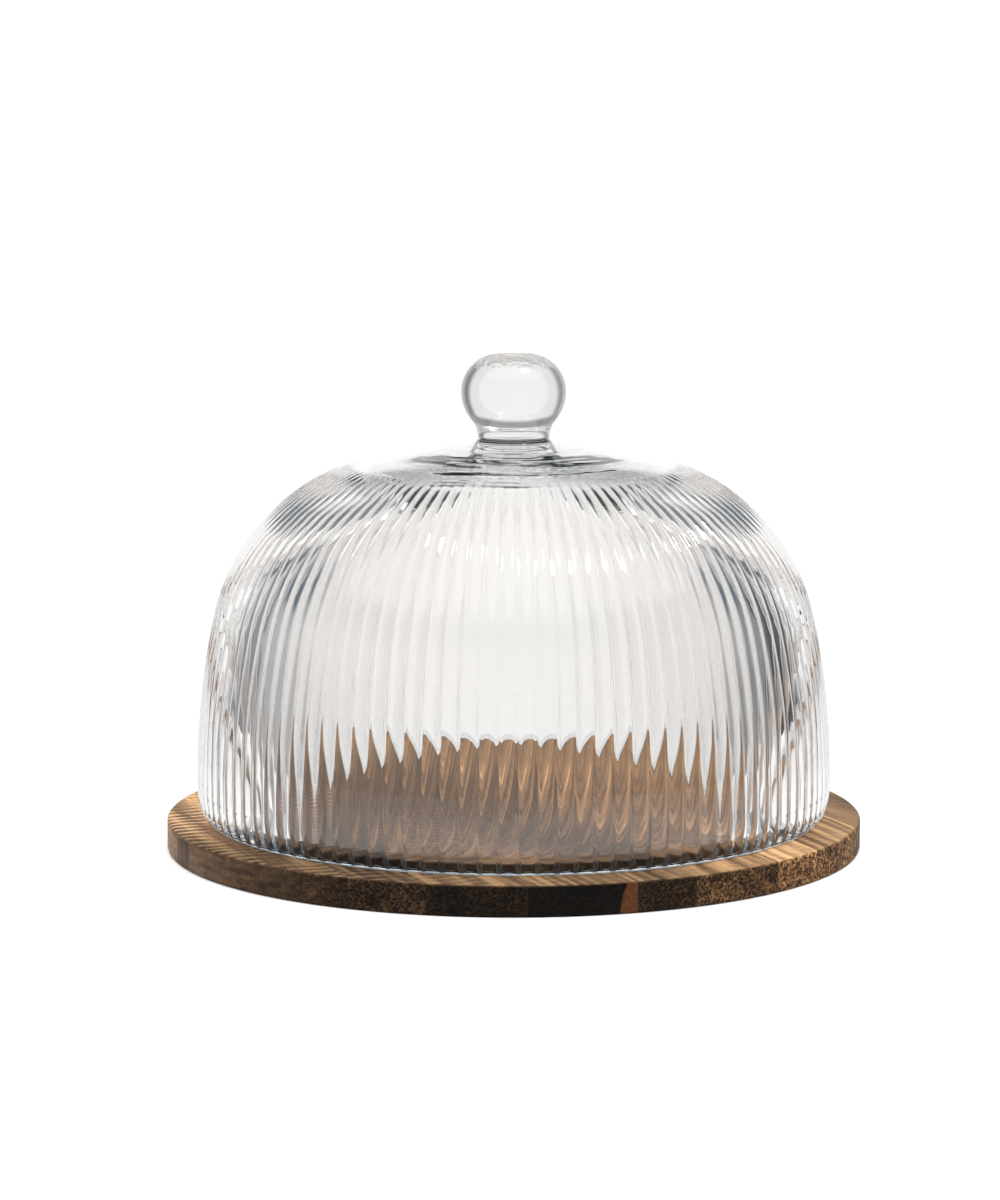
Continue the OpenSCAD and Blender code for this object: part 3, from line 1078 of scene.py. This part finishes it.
def pale_floor(radius):
    """A round pale floor. Near the board it is painted paler, which lifts the board's shadow on it. Away
    from the board it is as bright as the backdrop over it, so that the glass shows no edge between them."""
    made = bmesh.new()
    bmesh.ops.create_circle(made, cap_ends=True, radius=radius, segments=96)
    mesh = bpy.data.meshes.new("floor")
    made.to_mesh(mesh)
    made.free()
    material, nodes = new_material("pale_floor")
    place = nodes.node("ShaderNodeTexCoord", {}, {}, "Object")
    grain = nodes.noise(place, 300, 2)
    x, y, _ = nodes.axes(place)
    away = (x * x + y * y).math("SQRT").over(FLOOR_NEAR, FLOOR_FAR)
    # Painted light: the floor is paler near the board, where its shadow falls
    near = nodes.mix(grain, (0.92, 0.92, 0.92), (0.94, 0.94, 0.94))
    tone = nodes.mix(away, near, (0.589, 0.586, 0.581))
    finish_surface(nodes, {"Base Color": tone, "Roughness": 0.9, "Specular IOR Level": 0.1})
    mesh.materials.append(material)
    floor = bpy.data.objects.new("floor", mesh)
    bpy.context.collection.objects.link(floor)


def stage_camera(stage):
    """The camera, in front of the dome and a little above it."""
    camera = bpy.data.objects.new("camera", bpy.data.cameras.new("camera"))
    camera.data.lens = stage.lens
    camera.data.sensor_width = 36
    camera.data.shift_x, camera.data.shift_y = stage.shift
    camera.data.clip_start, camera.data.clip_end = 0.05, 50
    back = Vector((0, -math.cos(stage.camera_height), math.sin(stage.camera_height)))
    camera.location = Vector((0, 0, stage.target_height)) + back * stage.camera_distance
    camera.rotation_euler = (-back).to_track_quat("-Z", "Y").to_euler()
    bpy.context.collection.objects.link(camera)
    return camera


class CHEESEDOME_OT_stage(bpy.types.Operator):
    """Set up the floor, the lights and the camera"""

    bl_idname = "cheesedome.stage"
    bl_label = "Stage"

    def execute(self, context):
        scene = context.scene
        pale_floor(scene.dome_stage.floor_radius)
        studio_world()
        panel_light("key_box", (0.56, -0.42, 1.55), aim=(0, 0, 0.1), size=(0.22, 0.22), radiance=36)
        ceiling = panel_light("top_box", (0, 0.15, 1.6), aim=(0, 0.15, 0), size=(1.7, 1.7), radiance=3.6)
        ceiling.visible_glossy = ceiling.visible_transmission = False
        scene.camera = stage_camera(scene.dome_stage)
        scene.view_settings.view_transform = "Standard"
        # Light crosses many walls of glass before it leaves the dome
        scene.cycles.max_bounces = 24
        scene.cycles.transmission_bounces = 24
        scene.cycles.glossy_bounces = 12
        return {"FINISHED"}


class CHEESEDOME_PT_panel(bpy.types.Panel):
    """Sizes and steps of the cheese dome"""

    bl_label = "Cheese Dome"
    bl_idname = "CHEESEDOME_PT_panel"
    bl_space_type = "VIEW_3D"
    bl_region_type = "UI"
    bl_category = "Cheese Dome"

    def draw(self, context):
        for operator in OPERATORS:
            self.layout.operator(operator.bl_idname)
        for group in SETTINGS:
            settings = getattr(context.scene, group)
            box = self.layout.box()
            for key in settings.__annotations__:
                box.prop(settings, key)


OPERATORS = (CHEESEDOME_OT_stage, CHEESEDOME_OT_board, CHEESEDOME_OT_shell, CHEESEDOME_OT_knob)
SETTINGS = {
    "dome_glass": DomeGlass,
    "dome_knob": DomeKnob,
    "dome_wood": DomeWood,
    "dome_stage": DomeStage,
}


def register():
    for group in (*SETTINGS.values(), *OPERATORS, CHEESEDOME_PT_panel):
        bpy.utils.register_class(group)
    for name, group in SETTINGS.items():
        setattr(bpy.types.Scene, name, PointerProperty(type=group))


def unregister():
    for name in SETTINGS:
        delattr(bpy.types.Scene, name)
    for group in (CHEESEDOME_PT_panel, *OPERATORS, *SETTINGS.values()):
        bpy.utils.unregister_class(group)


def main():
    register()
    bpy.ops.cheesedome.stage()
    bpy.ops.cheesedome.board()
    bpy.ops.cheesedome.shell()
    bpy.ops.cheesedome.knob()


if __name__ == "__main__":
    main()
